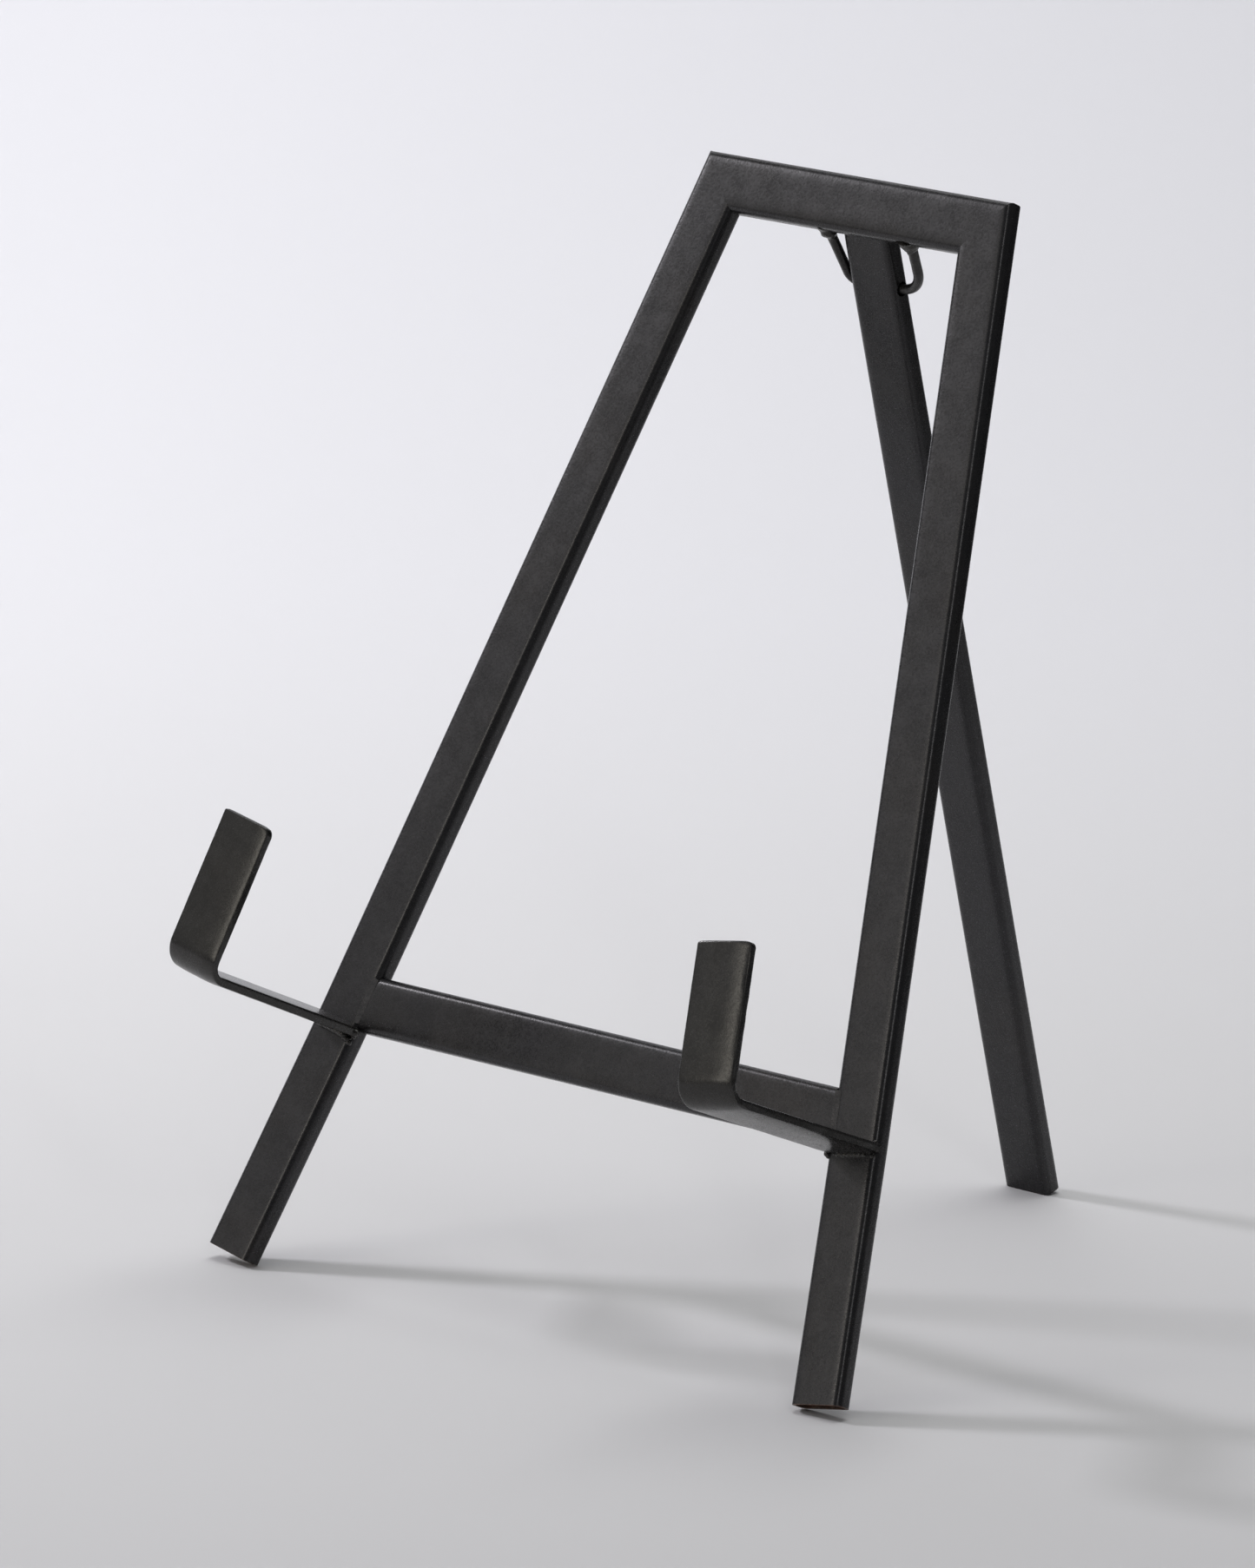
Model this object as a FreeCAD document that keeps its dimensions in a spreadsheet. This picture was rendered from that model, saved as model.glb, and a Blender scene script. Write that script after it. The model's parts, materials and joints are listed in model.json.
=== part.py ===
import FreeCAD, Part
import math
import os

import Sketcher

# A folding plate display stand of welded steel: a leaning front frame of rounded rectangular tube,
# two flat-bar shelf arms, and a tube rear leg that swings on a U of round wire.
# World frame: +Z up, floor at z = 0, +Y towards the rear leg, the frame's middle plane at x = 0.
# Front-frame pieces are drawn upright (front face at y = 0) and then leaned back about the X axis.

os.makedirs("parts", exist_ok=True)
doc = FreeCAD.newDocument("plate_stand")
Vector = FreeCAD.Vector
X_AXIS = Vector(1, 0, 0)
Y_AXIS = Vector(0, 1, 0)
Z_AXIS = Vector(0, 0, 1)
LEFT = -1
RIGHT = 1

# ---------------------------------------------------------------- driving dimensions (mm, degrees)

DIMENSIONS = [
    ("bar_width", "20"),            # tube: wide face
    ("bar_depth", "8"),             # tube: narrow face
    ("bar_corner", "2.5"),          # tube: outer corner radius
    ("bar_wall", "1.2"),
    ("lean_angle", "23.2"),         # front frame, back from upright
    ("splay_angle", "10.3"),        # each front leg, out from the middle
    ("top_half_width", "66.2"),     # middle plane to the outer top corner
    ("leg_length", "411.3"),        # along the outer edge of a front leg
    ("bottom_bar_drop", "303"),     # frame's top edge to the bottom bar's top edge
    ("arm_drop", "327.3"),          # along a leg: top corner to the underside of its shelf arm
    ("arm_width", "22"),
    ("arm_shift", "0.8"),           # both arms sit a little right of their legs' middles
    ("arm_thickness", "4"),
    ("left_arm_reach", "84.7"),     # leg's front face to the lip's front face
    ("right_arm_reach", "86.4"),
    ("left_arm_lip", "56.3"),       # underside of the arm to the top of the lip
    ("right_arm_lip", "55"),
    ("bend_outside", "10"),
    ("bend_inside", "4"),
    ("arm_edge", "0.7"),            # rolled edges of the flat bar
    ("left_lip_left_corner", "1.1"),
    ("left_lip_right_corner", "3.2"),
    ("right_lip_left_corner", "1.3"),
    ("right_lip_right_corner", "2"),
    ("left_arm_droop", "0"),
    ("right_arm_droop", "2"),       # the right arm was welded on drooping a little
    ("left_lip_lean", "2.5"),       # the left lip was bent a little less than square
    ("right_lip_lean", "0"),
    ("wire_diameter", "3.5"),
    ("loop_swing", "55.9"),         # hinge loop's plane, back from the frame's own plane
    ("loop_length", "24.75"),       # bar's lower back corner centre to the pivot line
    ("loop_end_gap", "0.4"),        # the wire's cut ends stop this far short of the bar, inside the weld
    ("loop_left_top", "11.2"),      # limbs of the loop, sideways from the middle plane
    ("loop_left_foot", "10.1"),
    ("loop_left_bend", "4.2"),
    ("loop_right_top", "24.7"),
    ("loop_right_foot", "20.9"),
    ("loop_right_bend", "10.9"),
    ("prop_angle", "17.6"),         # rear leg, forward from upright
    ("prop_side_lean", "0.33"),     # rear leg, sideways from upright
    ("prop_offset", "0.06"),        # rear leg's foot, sideways from the middle plane
    ("prop_above_pivot", "22.4"),
    ("pivot_hole", "5.2"),
    ("arm_bead", "3.5"),            # radius of the bead under a shelf arm
    ("arm_bead_length", "12"),
    ("loop_bead_wide", "4.6"),      # cone of weld round each end of the hinge loop
    ("loop_bead_narrow", "2"),
    ("loop_bead_length", "7.5"),
    ("loop_bead_depth", "3.5"),     # how far its wide end is sunk behind the wire's end
    ("origin_setback", "120.488"),  # frame's floor line to the middle of the footprint
]

DERIVED = [
    ("inner_corner", "=bar_corner - bar_wall"),
    ("mitre_drop", "=bar_width / tan(45 + splay_angle / 2)"),
    # height saved at a front foot because the tube's corner is round
    ("foot_rounding", "=bar_corner * (sin(splay_angle) * cos(lean_angle) + sin(lean_angle)"
     " - sqrt(pow(sin(splay_angle) * cos(lean_angle); 2) + pow(sin(lean_angle); 2)))"),
    # length of the frame up its own slope, from the floor to its top edge
    ("frame_height", "=leg_length * cos(splay_angle) + bar_width * sin(splay_angle)"
     " + bar_depth * tan(lean_angle) - foot_rounding / cos(lean_angle)"),
    # inner face of a leg at the bottom bar's top and bottom edges
    ("bottom_half_top", "=top_half_width + bottom_bar_drop * tan(splay_angle)"
     " - bar_width / cos(splay_angle)"),
    ("bottom_half_low", "=bottom_half_top + bar_width * tan(splay_angle)"),
    # pivot line of the hinge, in the frame's own plane: depth and height
    ("pivot_depth", "=bar_depth - bar_corner + loop_length * sin(loop_swing)"),
    ("pivot_height", "=frame_height - bar_width + bar_corner - loop_length * cos(loop_swing)"),
    # the same line in the world
    ("pivot_back", "=pivot_height * sin(lean_angle) + pivot_depth * cos(lean_angle)"),
    ("pivot_up", "=pivot_height * cos(lean_angle) - pivot_depth * sin(lean_angle)"),
    # the rear leg leans sideways, so it is lifted until its lower foot corner is on the floor
    ("prop_tilt", "=sin(prop_side_lean) * cos(prop_angle)"),
    ("prop_lift", "=(bar_width / 2 - bar_corner) * prop_tilt"
     " + bar_corner * (sqrt(pow(prop_tilt; 2) + pow(sin(prop_angle); 2)) - sin(prop_angle))"),
    ("prop_below_pivot", "=(pivot_up - prop_lift - bar_depth / 2 * sin(prop_angle))"
     " / (cos(prop_angle) * cos(prop_side_lean))"),
    ("prop_length", "=prop_below_pivot + prop_above_pivot"),
    ("prop_back", "=pivot_back + prop_below_pivot * cos(prop_side_lean) * sin(prop_angle)"
     " - bar_depth / 2 * cos(prop_angle)"),
]

sheet = doc.addObject("Spreadsheet::Sheet", "dims")
for row, (alias, content) in enumerate(DIMENSIONS + DERIVED, start=1):
    sheet.set("A%d" % row, alias)
    sheet.set("B%d" % row, content)
    sheet.setAlias("B%d" % row, alias)
doc.recompute()


def size(alias):
    return float(getattr(sheet, alias))


# ---------------------------------------------------------------- sketch and body helpers


def new_body(name):
    body = doc.addObject("PartDesign::Body", name)
    body.Label = name
    return body


def new_sketch(body, name, role):
    sketch = body.newObject("Sketcher::SketchObject", name)
    plane = [item for item in body.Origin.OriginFeatures if item.Role == role][0]
    sketch.AttachmentSupport = [(plane, "")]
    sketch.MapMode = "FlatFace"
    return sketch


def dimension(sketch, constraint, expression):
    """Adds a dimensional constraint and ties it to the sheet."""
    index = sketch.addConstraint(constraint)
    sketch.setExpression("Constraints[%d]" % index, expression)


def rounded_loop(sketch, low, high, radius, low_text, size_text, radius_text):
    """A rectangle with four equal round corners, fully constrained."""
    x0, y0 = low
    x1, y1 = high
    quarter = math.pi / 2
    corners = [
        (Vector(x1 - radius, y0 + radius, 0), -quarter),
        (Vector(x1 - radius, y1 - radius, 0), 0.0),
        (Vector(x0 + radius, y1 - radius, 0), quarter),
        (Vector(x0 + radius, y0 + radius, 0), 2 * quarter),
    ]
    sides = [
        (Vector(x0 + radius, y0, 0), Vector(x1 - radius, y0, 0)),
        (Vector(x1, y0 + radius, 0), Vector(x1, y1 - radius, 0)),
        (Vector(x1 - radius, y1, 0), Vector(x0 + radius, y1, 0)),
        (Vector(x0, y1 - radius, 0), Vector(x0, y0 + radius, 0)),
    ]
    lines = [sketch.addGeometry(Part.LineSegment(start, end), False) for start, end in sides]
    arcs = []
    for centre, start_angle in corners:
        circle = Part.Circle(centre, Z_AXIS, radius)
        arc = Part.ArcOfCircle(circle, start_angle, start_angle + quarter)
        arcs.append(sketch.addGeometry(arc, False))
    for side in range(4):
        sketch.addConstraint(Sketcher.Constraint("Tangent", lines[side], 2, arcs[side], 1))
        sketch.addConstraint(Sketcher.Constraint("Tangent", arcs[side], 2, lines[(side + 1) % 4], 1))
    sketch.addConstraint(Sketcher.Constraint("Horizontal", lines[0]))
    sketch.addConstraint(Sketcher.Constraint("Vertical", lines[1]))
    sketch.addConstraint(Sketcher.Constraint("Horizontal", lines[2]))
    sketch.addConstraint(Sketcher.Constraint("Vertical", lines[3]))
    for arc in arcs[1:]:
        sketch.addConstraint(Sketcher.Constraint("Equal", arcs[0], arc))
    dimension(sketch, Sketcher.Constraint("Radius", arcs[0], radius), radius_text)
    dimension(sketch, Sketcher.Constraint("DistanceX", lines[3], 1, lines[1], 1, x1 - x0), size_text[0])
    dimension(sketch, Sketcher.Constraint("DistanceY", lines[0], 1, lines[2], 1, y1 - y0), size_text[1])
    dimension(sketch, Sketcher.Constraint("DistanceX", -1, 1, lines[3], 1, x0), low_text[0])
    dimension(sketch, Sketcher.Constraint("DistanceY", -1, 1, lines[0], 1, y0), low_text[1])


def polygon(sketch, points, texts):
    """A closed polygon whose corners are each tied to the sheet by two coordinates."""
    count = len(points)
    lines = []
    for index in range(count):
        start = Vector(points[index][0], points[index][1], 0)
        end = Vector(points[(index + 1) % count][0], points[(index + 1) % count][1], 0)
        lines.append(sketch.addGeometry(Part.LineSegment(start, end), False))
    for index in range(count):
        joint = Sketcher.Constraint("Coincident", lines[index], 2, lines[(index + 1) % count], 1)
        sketch.addConstraint(joint)
    for index in range(count):
        for axis, kind in enumerate(("DistanceX", "DistanceY")):
            value = points[index][axis]
            text = texts[index][axis]
            if text == "0":
                on_axis = Sketcher.Constraint("PointOnObject", lines[index], 1, -2 + axis)
                sketch.addConstraint(on_axis)
            else:
                dimension(sketch, Sketcher.Constraint(kind, -1, 1, lines[index], 1, value), text)


def tube_section(sketch, corner, texts, wide_first):
    """Outer and inner outline of the tube, its lowest corner at the given point."""
    width = size("bar_width")
    depth = size("bar_depth")
    wall = size("bar_wall")
    if wide_first:
        spans = (width, depth)
        span_texts = ("dims.bar_width", "dims.bar_depth")
    else:
        spans = (depth, width)
        span_texts = ("dims.bar_depth", "dims.bar_width")
    far = (corner[0] + spans[0], corner[1] + spans[1])
    rounded_loop(sketch, corner, far, size("bar_corner"), texts, span_texts, "dims.bar_corner")
    low = (corner[0] + wall, corner[1] + wall)
    high = (far[0] - wall, far[1] - wall)
    inner_texts = [text + " + dims.bar_wall" for text in texts]
    inner_spans = [text + " - 2 * dims.bar_wall" for text in span_texts]
    rounded_loop(sketch, low, high, size("inner_corner"), inner_texts, inner_spans, "dims.inner_corner")


def pad(body, name, sketch, length_text, symmetric):
    feature = body.newObject("PartDesign::Pad", name)
    feature.Profile = sketch
    if symmetric:
        feature.SideType = "Symmetric"
    feature.setExpression("Length", length_text)
    doc.recompute()
    return feature


def cut_through(body, name, sketch):
    """A pocket right through the body on both sides of its sketch plane."""
    before = body.Shape.Volume
    feature = body.newObject("PartDesign::Pocket", name)
    feature.Profile = sketch
    feature.Type = "ThroughAll"
    feature.SideType = "Symmetric"
    doc.recompute()
    assert body.Shape.Volume < before - 0.01, name
    return feature


def edges_near(shape, points):
    """Names of the edges whose middle lies nearest to each of the given points."""
    names = []
    for point in points:
        spans = []
        for index, edge in enumerate(shape.Edges):
            middle = edge.valueAt((edge.FirstParameter + edge.LastParameter) / 2)
            spans.append(((middle - point).Length, index + 1))
        names.append("Edge%d" % min(spans)[1])
    return names


def fillet(body, name, base, edges, radius_text):
    feature = body.newObject("PartDesign::Fillet", name)
    feature.Base = (base, edges)
    feature.setExpression("Radius", radius_text)
    doc.recompute()
    return feature


# ---------------------------------------------------------------- placements

LEAN = FreeCAD.Rotation(X_AXIS, -size("lean_angle"))


def on_frame(x, depth, height, turn=None):
    """Placement of a piece drawn upright, at a point of the front frame's own plane."""
    leaned = FreeCAD.Placement(Vector(0, -size("origin_setback"), 0), LEAN)
    local = FreeCAD.Placement(Vector(x, depth, height), turn or FreeCAD.Rotation())
    return leaned.multiply(local)


def leg_turn(side):
    return FreeCAD.Rotation(Y_AXIS, -side * size("splay_angle"))


def leg_point(side, inward, depth, up):
    """A point on a front leg: inward from its outer edge, up from its foot, in frame coordinates."""
    splay = math.radians(size("splay_angle"))
    from_top = size("leg_length") - up
    x = size("top_half_width") + from_top * math.sin(splay) - inward * math.cos(splay)
    height = size("frame_height") - from_top * math.cos(splay) - inward * math.sin(splay)
    return side * x, depth, height


def side_name(side):
    return "right" if side == RIGHT else "left"


# ---------------------------------------------------------------- front legs


def make_leg(side):
    """Tube with a square-cut open foot and a mitred top; outer edge at x = 0, foot at z = 0."""
    name = side_name(side) + "_leg"
    body = new_body(name)
    width = size("bar_width")
    length = size("leg_length")
    section = new_sketch(body, name + "_section", "XY_Plane")
    low_x = -width if side == RIGHT else 0.0
    low_text = "-dims.bar_width" if side == RIGHT else "0 * dims.bar_width"
    tube_section(section, (low_x, 0.0), (low_text, "0 * dims.bar_depth"), True)
    pad(body, name + "_tube", section, "dims.leg_length", False)
    sign = "-" if side == RIGHT else ""
    mitre = new_sketch(body, name + "_mitre", "XZ_Plane")
    points = [
        (0.0, length),
        (-side * width, length - size("mitre_drop")),
        (-side * width, length),
    ]
    texts = [
        ("0", "dims.leg_length"),
        (sign + "dims.bar_width", "dims.leg_length - dims.mitre_drop"),
        (sign + "dims.bar_width", "dims.leg_length"),
    ]
    polygon(mitre, points, texts)
    cut_through(body, name + "_top_cut", mitre)
    x, depth, height = leg_point(side, 0.0, 0.0, 0.0)
    body.Placement = on_frame(x, depth, height, leg_turn(side))
    return body


left_leg = make_leg(LEFT)
right_leg = make_leg(RIGHT)

# ---------------------------------------------------------------- top and bottom bars


def make_bar(name, length_text, end_points, end_texts, height):
    """Tube lying along X with its top edge at z = 0 and both ends cut at a slant."""
    body = new_body(name)
    section = new_sketch(body, name + "_section", "YZ_Plane")
    tube_section(section, (0.0, -size("bar_width")), ("0 * dims.bar_depth", "-dims.bar_width"), False)
    pad(body, name + "_tube", section, length_text, True)
    for side in (LEFT, RIGHT):
        cut = new_sketch(body, name + "_" + side_name(side) + "_end", "XZ_Plane")
        points = [(side * x, z) for x, z in end_points]
        texts = [(x if side == RIGHT else "-(" + x + ")", z) for x, z in end_texts]
        polygon(cut, points, texts)
        cut_through(body, name + "_" + side_name(side) + "_cut", cut)
    body.Placement = on_frame(0.0, 0.0, height)
    return body


top_half = size("top_half_width")
top_bar = make_bar(
    "top_bar",
    "2 * dims.top_half_width",
    [(top_half, 0.0), (top_half - size("mitre_drop"), -size("bar_width")), (top_half, -size("bar_width"))],
    [
        ("dims.top_half_width", "0"),
        ("dims.top_half_width - dims.mitre_drop", "-dims.bar_width"),
        ("dims.top_half_width", "-dims.bar_width"),
    ],
    size("frame_height"),
)
bottom_bar = make_bar(
    "bottom_bar",
    "2 * dims.bottom_half_low",
    [(size("bottom_half_top"), 0.0), (size("bottom_half_low"), -size("bar_width")),
     (size("bottom_half_low"), 0.0)],
    [
        ("dims.bottom_half_top", "0"),
        ("dims.bottom_half_low", "-dims.bar_width"),
        ("dims.bottom_half_low", "0"),
    ],
    size("frame_height") - size("bottom_bar_drop"),
)

# ---------------------------------------------------------------- shelf arms


def make_arm(side):
    """Flat bar bent to an L: root on the leg's front face, lip turned up at the front."""
    name = side_name(side) + "_shelf_arm"
    body = new_body(name)
    prefix = side_name(side)
    droop = size(prefix + "_arm_droop")
    lean = size(prefix + "_lip_lean")
    reach = size(prefix + "_arm_reach")
    lip = size(prefix + "_arm_lip")
    thick = size("arm_thickness")
    fall = math.tan(math.radians(droop))
    out = math.tan(math.radians(lean))
    reach_text = "dims.%s_arm_reach" % prefix
    lip_text = "dims.%s_arm_lip" % prefix
    fall_text = "tan(dims.%s_arm_droop)" % prefix
    out_text = "tan(dims.%s_lip_lean)" % prefix
    profile = new_sketch(body, name + "_profile", "YZ_Plane")
    points = [
        (0.0, 0.0),
        (-reach, -reach * fall),
        (-reach - lip * out, lip - reach * fall),
        (-reach + thick - lip * out, lip - reach * fall),
        (-reach + thick, thick - (reach - thick) * fall),
        (0.0, thick),
    ]
    texts = [
        ("0", "0"),
        ("-" + reach_text, "-" + reach_text + " * " + fall_text),
        ("-" + reach_text + " - " + lip_text + " * " + out_text,
         lip_text + " - " + reach_text + " * " + fall_text),
        ("-" + reach_text + " + dims.arm_thickness - " + lip_text + " * " + out_text,
         lip_text + " - " + reach_text + " * " + fall_text),
        ("-" + reach_text + " + dims.arm_thickness",
         "dims.arm_thickness - (" + reach_text + " - dims.arm_thickness) * " + fall_text),
        ("0", "dims.arm_thickness"),
    ]
    polygon(profile, points, texts)
    bar = pad(body, name + "_bar", profile, "dims.arm_width", True)
    outer = edges_near(bar.Shape, [Vector(0, points[1][0], points[1][1])])
    outside = fillet(body, name + "_outside", bar, outer, "dims.bend_outside")
    inner = edges_near(outside.Shape, [Vector(0, points[4][0], points[4][1])])
    inside = fillet(body, name + "_inside", outside, inner, "dims.bend_inside")
    half = size("arm_width") / 2
    tip = (points[2][0] + points[3][0]) / 2
    corners = inside
    for end in (LEFT, RIGHT):
        edge = edges_near(corners.Shape, [Vector(end * half, tip, points[2][1])])
        radius_text = "dims.%s_lip_%s_corner" % (prefix, side_name(end))
        corners = fillet(body, "%s_%s_corner" % (name, side_name(end)), corners, edge, radius_text)
    rim = rolled_edges(corners.Shape, half)
    fillet(body, name + "_rolled_edges", corners, rim, "dims.arm_edge")
    up = size("leg_length") - size("arm_drop")
    x, depth, height = leg_point(side, size("bar_width") / 2 - side * size("arm_shift"), 0.0, up)
    body.Placement = on_frame(x, depth, height, leg_turn(side))
    return body


def rolled_edges(shape, half):
    """Edges of the flat bar's two narrow sides, leaving out the root against the leg."""
    names = []
    for index, edge in enumerate(shape.Edges):
        middle = edge.valueAt((edge.FirstParameter + edge.LastParameter) / 2)
        at_side = abs(abs(middle.x) - half) < 0.01
        at_root = abs(middle.y) < 0.01
        if at_side and not at_root:
            names.append("Edge%d" % (index + 1))
    return names


left_arm = make_arm(LEFT)
right_arm = make_arm(RIGHT)

# ---------------------------------------------------------------- rear leg

rear_leg = new_body("rear_leg")
rear_section = new_sketch(rear_leg, "rear_leg_section", "XY_Plane")
half_width = size("bar_width") / 2
tube_section(rear_section, (-half_width, 0.0), ("-dims.bar_width / 2", "0 * dims.bar_depth"), True)
pad(rear_leg, "rear_leg_tube", rear_section, "dims.prop_length", False)
pivot_sketch = new_sketch(rear_leg, "rear_leg_pivot", "YZ_Plane")
hole_centre = Vector(size("bar_depth") / 2, size("prop_below_pivot"), 0)
hole = pivot_sketch.addGeometry(Part.Circle(hole_centre, Z_AXIS, size("pivot_hole") / 2), False)
dimension(pivot_sketch, Sketcher.Constraint("Diameter", hole, size("pivot_hole")), "dims.pivot_hole")
dimension(pivot_sketch, Sketcher.Constraint("DistanceX", -1, 1, hole, 3, hole_centre.x),
          "dims.bar_depth / 2")
dimension(pivot_sketch, Sketcher.Constraint("DistanceY", -1, 1, hole, 3, hole_centre.y),
          "dims.prop_below_pivot")
cut_through(rear_leg, "rear_leg_pivot_holes", pivot_sketch)
side_lean = FreeCAD.Rotation(Y_AXIS, size("prop_side_lean"))
rear_leg.Placement = FreeCAD.Placement(
    Vector(size("prop_offset"), size("prop_back") - size("origin_setback"), size("prop_lift")),
    FreeCAD.Rotation(X_AXIS, size("prop_angle")).multiply(side_lean),
)

# ---------------------------------------------------------------- hinge loop

# Drawn flat: x sideways, y from the wire's two ends on the top bar out to the pivot line.
hinge_loop = new_body("hinge_loop")


def corner_arc(before, corner, after, radius):
    """Tangent points and centre of a round bend in a path of two straight runs."""
    back = (before - corner).normalize()
    ahead = (after - corner).normalize()
    half_angle = back.getAngle(ahead) / 2
    reach = radius / math.tan(half_angle)
    centre = corner + (back + ahead).normalize() * (radius / math.sin(half_angle))
    return corner + back * reach, corner + ahead * reach, centre


pivot_y = size("loop_length") - size("bar_corner") - size("loop_end_gap")
path_points = [
    Vector(-size("loop_left_top"), 0, 0),
    Vector(-size("loop_left_foot"), pivot_y, 0),
    Vector(size("loop_right_foot"), pivot_y, 0),
    Vector(size("loop_right_top"), 0, 0),
]
left_in, left_out, left_centre = corner_arc(*path_points[0:3], size("loop_left_bend"))
right_in, right_out, right_centre = corner_arc(*path_points[1:4], size("loop_right_bend"))


def add_arc(sketch, centre, first, last, radius):
    start = math.atan2(first.y - centre.y, first.x - centre.x)
    end = math.atan2(last.y - centre.y, last.x - centre.x)
    circle = Part.Circle(centre, Z_AXIS, radius)
    return sketch.addGeometry(Part.ArcOfCircle(circle, start, end), False)


path = new_sketch(hinge_loop, "hinge_loop_path", "XY_Plane")
left_limb = path.addGeometry(Part.LineSegment(path_points[0], left_in), False)
left_bend = add_arc(path, left_centre, left_out, left_in, size("loop_left_bend"))
cross_run = path.addGeometry(Part.LineSegment(left_out, right_in), False)
right_bend = add_arc(path, right_centre, right_out, right_in, size("loop_right_bend"))
right_limb = path.addGeometry(Part.LineSegment(right_out, path_points[3]), False)
path.addConstraint(Sketcher.Constraint("Tangent", left_limb, 2, left_bend, 2))
path.addConstraint(Sketcher.Constraint("Tangent", left_bend, 1, cross_run, 1))
path.addConstraint(Sketcher.Constraint("Tangent", cross_run, 2, right_bend, 2))
path.addConstraint(Sketcher.Constraint("Tangent", right_bend, 1, right_limb, 1))
path.addConstraint(Sketcher.Constraint("Horizontal", cross_run))
path.addConstraint(Sketcher.Constraint("PointOnObject", left_limb, 1, -1))
path.addConstraint(Sketcher.Constraint("PointOnObject", right_limb, 2, -1))
left_slope = math.atan2(path_points[1].y, path_points[1].x - path_points[0].x)
right_slope = math.atan2(-path_points[2].y, path_points[3].x - path_points[2].x)
run_text = "(dims.loop_length - dims.bar_corner - dims.loop_end_gap)"
slope_text = "atan((dims.loop_%s_top - dims.loop_%s_foot) / " + run_text + ")"
dimension(path, Sketcher.Constraint("Radius", left_bend, size("loop_left_bend")), "dims.loop_left_bend")
dimension(path, Sketcher.Constraint("Radius", right_bend, size("loop_right_bend")),
          "dims.loop_right_bend")
dimension(path, Sketcher.Constraint("DistanceX", -1, 1, left_limb, 1, path_points[0].x),
          "-dims.loop_left_top")
dimension(path, Sketcher.Constraint("DistanceX", -1, 1, right_limb, 2, path_points[3].x),
          "dims.loop_right_top")
dimension(path, Sketcher.Constraint("DistanceY", -1, 1, cross_run, 1, pivot_y), run_text)
dimension(path, Sketcher.Constraint("Angle", left_limb, left_slope),
          "90 deg - " + slope_text % ("left", "left"))
dimension(path, Sketcher.Constraint("Angle", right_limb, right_slope),
          slope_text % ("right", "right") + " - 90 deg")

wire = new_sketch(hinge_loop, "hinge_loop_wire", "XZ_Plane")
wire_circle = wire.addGeometry(
    Part.Circle(Vector(-size("loop_left_top"), 0, 0), Z_AXIS, size("wire_diameter") / 2), False
)
wire.addConstraint(Sketcher.Constraint("PointOnObject", wire_circle, 3, -1))
dimension(wire, Sketcher.Constraint("DistanceX", -1, 1, wire_circle, 3, -size("loop_left_top")),
          "-dims.loop_left_top")
dimension(wire, Sketcher.Constraint("Diameter", wire_circle, size("wire_diameter")),
          "dims.wire_diameter")
doc.recompute()
loop_pipe = hinge_loop.newObject("PartDesign::AdditivePipe", "hinge_loop_rod")
loop_pipe.Profile = wire
loop_pipe.Spine = (path, [])
doc.recompute()


def on_loop(x, y, turn=None):
    """Placement of a piece given in the loop's own flat drawing."""
    swing = math.radians(size("loop_swing"))
    out = size("bar_corner") + y
    depth = size("bar_depth") - size("bar_corner") + out * math.sin(swing)
    height = size("frame_height") - size("bar_width") + size("bar_corner") - out * math.cos(swing)
    plane = FreeCAD.Rotation(X_AXIS, size("loop_swing") - 90)
    return on_frame(x, depth, height, plane.multiply(turn) if turn else plane)


hinge_loop.Placement = on_loop(0.0, size("loop_end_gap"))

# ---------------------------------------------------------------- weld beads


def primitive(kind, name, sizes):
    piece = doc.addObject("Part::" + kind, name)
    for prop, text in sizes.items():
        piece.setExpression(prop, text)
    return piece


def group(kind, name, pieces, prop):
    whole = doc.addObject("Part::" + kind, name)
    setattr(whole, prop, pieces)
    return whole


def trimmed(name, beads, *tool_sets):
    """Weld metal cut back, set by set, to the surfaces of the pieces that it joins."""
    metal = group("Compound", name + "_metal", beads, "Links")
    for number, tools in enumerate(tool_sets, start=1):
        cut = doc.addObject("Part::Cut", name + "_cut_%d" % number)
        cut.Base = metal
        cut.Tool = group("Compound", name + "_tools_%d" % number, tools, "Links")
        metal = cut
    metal.Label = name
    doc.recompute()
    return metal


def leg_core(side):
    """The hollow of a front leg as a solid block, so that no weld metal is left inside the tube."""
    core = primitive(
        "Box",
        side_name(side) + "_leg_core",
        {
            "Length": "dims.bar_width - 2 * dims.bar_wall",
            "Width": "dims.bar_depth - 2 * dims.bar_wall",
            "Height": "dims.leg_length",
        },
    )
    wall = size("bar_wall")
    inward = size("bar_width") - wall if side == RIGHT else wall
    x, depth, height = leg_point(side, inward, wall, 0.0)
    core.Placement = on_frame(x, depth, height, leg_turn(side))
    return core


def top_bar_core():
    core = primitive(
        "Box",
        "top_bar_core",
        {
            "Length": "2 * dims.top_half_width",
            "Width": "dims.bar_depth - 2 * dims.bar_wall",
            "Height": "dims.bar_width - 2 * dims.bar_wall",
        },
    )
    height = size("frame_height") - size("bar_width") + size("bar_wall")
    core.Placement = on_frame(-size("top_half_width"), size("bar_wall"), height)
    return core


LAY_ALONG_X = FreeCAD.Rotation(Y_AXIS, 90)
POINT_ALONG_Y = FreeCAD.Rotation(X_AXIS, -90)


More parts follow.
